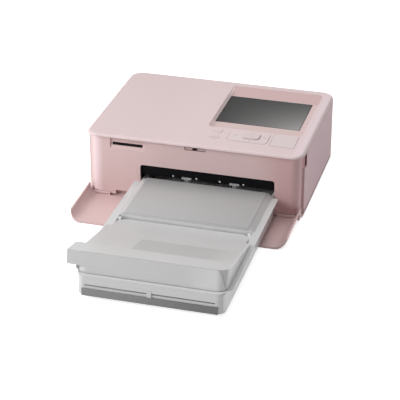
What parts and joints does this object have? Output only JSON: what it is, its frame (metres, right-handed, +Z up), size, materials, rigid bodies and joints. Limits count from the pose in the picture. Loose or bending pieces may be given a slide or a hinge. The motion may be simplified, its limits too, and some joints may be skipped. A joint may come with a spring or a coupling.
{
  "type": "photo printer",
  "caption": "Compact photo printer with a tilted-lid paper cassette in its open front, a let-down front flap, a side door, keys and a display in its top.",
  "frame": {"origin": "on the desk below the middle of the whole footprint, cassette included", "axes": "+X to the printer's right, +Y from the cassette's front to the printer's rear, +Z up"},
  "size_m": [0.1822, 0.291, 0.0585],
  "materials": {
    "body_pink": "fine textured moulding",
    "panel_pink": "fine textured moulding",
    "key_pink": "satin moulding",
    "key_bright": "satin moulding",
    "foot_rubber": "matt rubber",
    "display_glass": "polished cover glass",
    "black_plastic": "matt moulding",
    "grey_plastic": "matt moulding",
    "board_green": "lacquered circuit board",
    "pin_steel": "ground rod",
    "frame_steel": "zinc plated sheet",
    "roller_rubber": "ground rubber",
    "gear_white": "moulded gear plastic",
    "motor_steel": "drawn can",
    "sink_aluminium": "extruded",
    "head_ceramic": "ceramic strip",
    "ribbon_grey": "matt moulding",
    "ribbon_film": "thin film",
    "cassette_smoke": "translucent moulding",
    "cassette_dark": "smooth moulding",
    "paper_white": "coated paper"
  },
  "bodies": {
    "printer_body": {"base_case": "body_pink", "rubber_feet": "foot_rubber", "top_cover": "body_pink", "front_panel": "panel_pink", "rear_panel": "panel_pink", "door_pins": "pin_steel", "flap_pins": "pin_steel", "display_glass": "display_glass", "display_module": "black_plastic", "key_board": "board_green", "key_domes": "grey_plastic", "card_reader": "black_plastic", "main_board": "board_green", "power_inlet": "black_plastic", "left_frame": "frame_steel", "right_frame": "frame_steel", "shaft_bushes": "gear_white", "front_guide": "black_plastic", "paper_fingers": "grey_plastic", "guide_rivets": "pin_steel", "lower_guide": "black_plastic", "idler_stud": "pin_steel", "feed_motor": "motor_steel", "motor_bracket": "frame_steel", "arm_pins": "pin_steel", "ribbon_case": "ribbon_grey", "ribbon_film": "ribbon_film"},
    "front_flap": {"front_flap": "body_pink"},
    "side_door": {"side_door": "body_pink"},
    "paper_cassette": {"cassette_base": "cassette_smoke", "cassette_bar": "cassette_dark", "cassette_nub": "cassette_dark", "cassette_cover": "cassette_smoke", "lift_plate_pin": "pin_steel", "lid_pins": "cassette_dark"},
    "cassette_lid": {"cassette_lid": "cassette_smoke"},
    "lift_plate": {"lift_plate": "grey_plastic", "paper_stack": "paper_white"},
    "power_key": {"power_key": "key_pink"},
    "back_key": {"back_key": "key_pink"},
    "arrow_key": {"arrow_key": "key_pink"},
    "confirm_key": {"confirm_key": "key_bright"},
    "print_key": {"print_key": "key_pink"},
    "latch_tongue": {"latch_tongue": "black_plastic"},
    "pick_roller": {"pick_roller": "roller_rubber", "pick_gear": "gear_white"},
    "capstan_roller": {"capstan_roller": "frame_steel", "capstan_gear": "gear_white"},
    "platen_roller": {"platen_roller": "roller_rubber", "platen_gear": "gear_white"},
    "pinch_roller": {"pinch_roller": "roller_rubber"},
    "idler_gear": {"idler_gear": "gear_white"},
    "motor_shaft": {"motor_shaft": "pin_steel", "motor_pinion": "gear_white"},
    "print_head": {"head_arm": "frame_steel", "thermal_head": "head_ceramic", "heat_sink": "sink_aluminium"},
    "takeup_spool": {"takeup_spool": "ribbon_grey"},
    "supply_spool": {"supply_spool": "ribbon_grey"}
  },
  "joints": [
    {"name": "flap_hinge", "type": "hinge", "parent": "printer_body", "child": "front_flap", "pos_m": [0, 0.0152, 0.003], "axis": [-1, 0, 0], "range_deg": [0, 1.1]},
    {"name": "door_hinge", "type": "hinge", "parent": "printer_body", "child": "side_door", "pos_m": [0.0901, 0.0785, 0.0041], "axis": [0, 1, 0], "range_deg": [0, 88]},
    {"name": "cassette_slide", "type": "slide", "parent": "printer_body", "child": "paper_cassette", "axis": [0, -1, 0], "range_m": [0, 0.03]},
    {"name": "lid_hinge", "type": "hinge", "parent": "paper_cassette", "child": "cassette_lid", "pos_m": [0.0123, -0.0525, 0.018], "axis": [-1, 0, 0], "range_deg": [0, 95]},
    {"name": "lift_hinge", "type": "hinge", "parent": "paper_cassette", "child": "lift_plate", "pos_m": [0.0123, -0.1035, 0.0064], "axis": [1, 0, 0], "range_deg": [0, 1]},
    {"name": "power_press", "type": "slide", "parent": "printer_body", "child": "power_key", "axis": [0, 0, -1], "range_m": [0, 0.0008], "stiffness_N_per_m": 400},
    {"name": "back_press", "type": "slide", "parent": "printer_body", "child": "back_key", "axis": [0, 0, -1], "range_m": [0, 0.0008], "stiffness_N_per_m": 400},
    {"name": "arrow_press", "type": "slide", "parent": "printer_body", "child": "arrow_key", "axis": [0, 0, -1], "range_m": [0, 0.0008], "stiffness_N_per_m": 400},
    {"name": "print_press", "type": "slide", "parent": "printer_body", "child": "print_key", "axis": [0, 0, -1], "range_m": [0, 0.0008], "stiffness_N_per_m": 400},
    {"name": "confirm_press", "type": "slide", "parent": "printer_body", "child": "confirm_key", "axis": [0, 0, -1], "range_m": [0, 0.0008], "stiffness_N_per_m": 400},
    {"name": "latch_press", "type": "slide", "parent": "printer_body", "child": "latch_tongue", "axis": [0, 1, 0], "range_m": [0, 0.001], "stiffness_N_per_m": 300},
    {"name": "platen_spin", "type": "hinge", "parent": "printer_body", "child": "platen_roller", "pos_m": [0.0123, 0.09195, 0.02], "axis": [1, 0, 0], "continuous": true},
    {"name": "capstan_spin", "type": "hinge", "parent": "printer_body", "child": "capstan_roller", "pos_m": [0.0123, 0.0525, 0.023], "axis": [1, 0, 0], "continuous": true},
    {"name": "idler_spin", "type": "hinge", "parent": "printer_body", "child": "idler_gear", "pos_m": [-0.0504, 0.06996, 0.01325], "axis": [1, 0, 0], "continuous": true},
    {"name": "pick_spin", "type": "hinge", "parent": "printer_body", "child": "pick_roller", "pos_m": [0.0123, 0.03357, 0.0246], "axis": [1, 0, 0], "continuous": true},
    {"name": "motor_spin", "type": "hinge", "parent": "printer_body", "child": "motor_shaft", "pos_m": [-0.0504, 0.08113, 0.038], "axis": [1, 0, 0], "continuous": true},
    {"name": "pinch_spin", "type": "hinge", "parent": "printer_body", "child": "pinch_roller", "pos_m": [0.0123, 0.0525, 0.0308], "axis": [1, 0, 0], "continuous": true},
    {"name": "head_pivot", "type": "hinge", "parent": "printer_body", "child": "print_head", "pos_m": [0.0123, 0.10495, 0.0456], "axis": [-1, 0, 0], "range_deg": [0, 4]},
    {"name": "takeup_spin", "type": "hinge", "parent": "printer_body", "child": "takeup_spool", "pos_m": [0.0123, 0.0675, 0.038], "axis": [1, 0, 0], "continuous": true},
    {"name": "supply_spin", "type": "hinge", "parent": "printer_body", "child": "supply_spool", "pos_m": [0.0123, 0.1165, 0.038], "axis": [1, 0, 0], "continuous": true}
  ],
  "couplings": [
    {"joint": "idler_spin", "follows": "platen_spin", "ratio": -1.875},
    {"joint": "capstan_spin", "follows": "platen_spin", "ratio": 1.25},
    {"joint": "pick_spin", "follows": "platen_spin", "ratio": -2.1429},
    {"joint": "motor_spin", "follows": "platen_spin", "ratio": -2.5},
    {"joint": "pinch_spin", "follows": "platen_spin", "ratio": -1.4286}
  ]
}
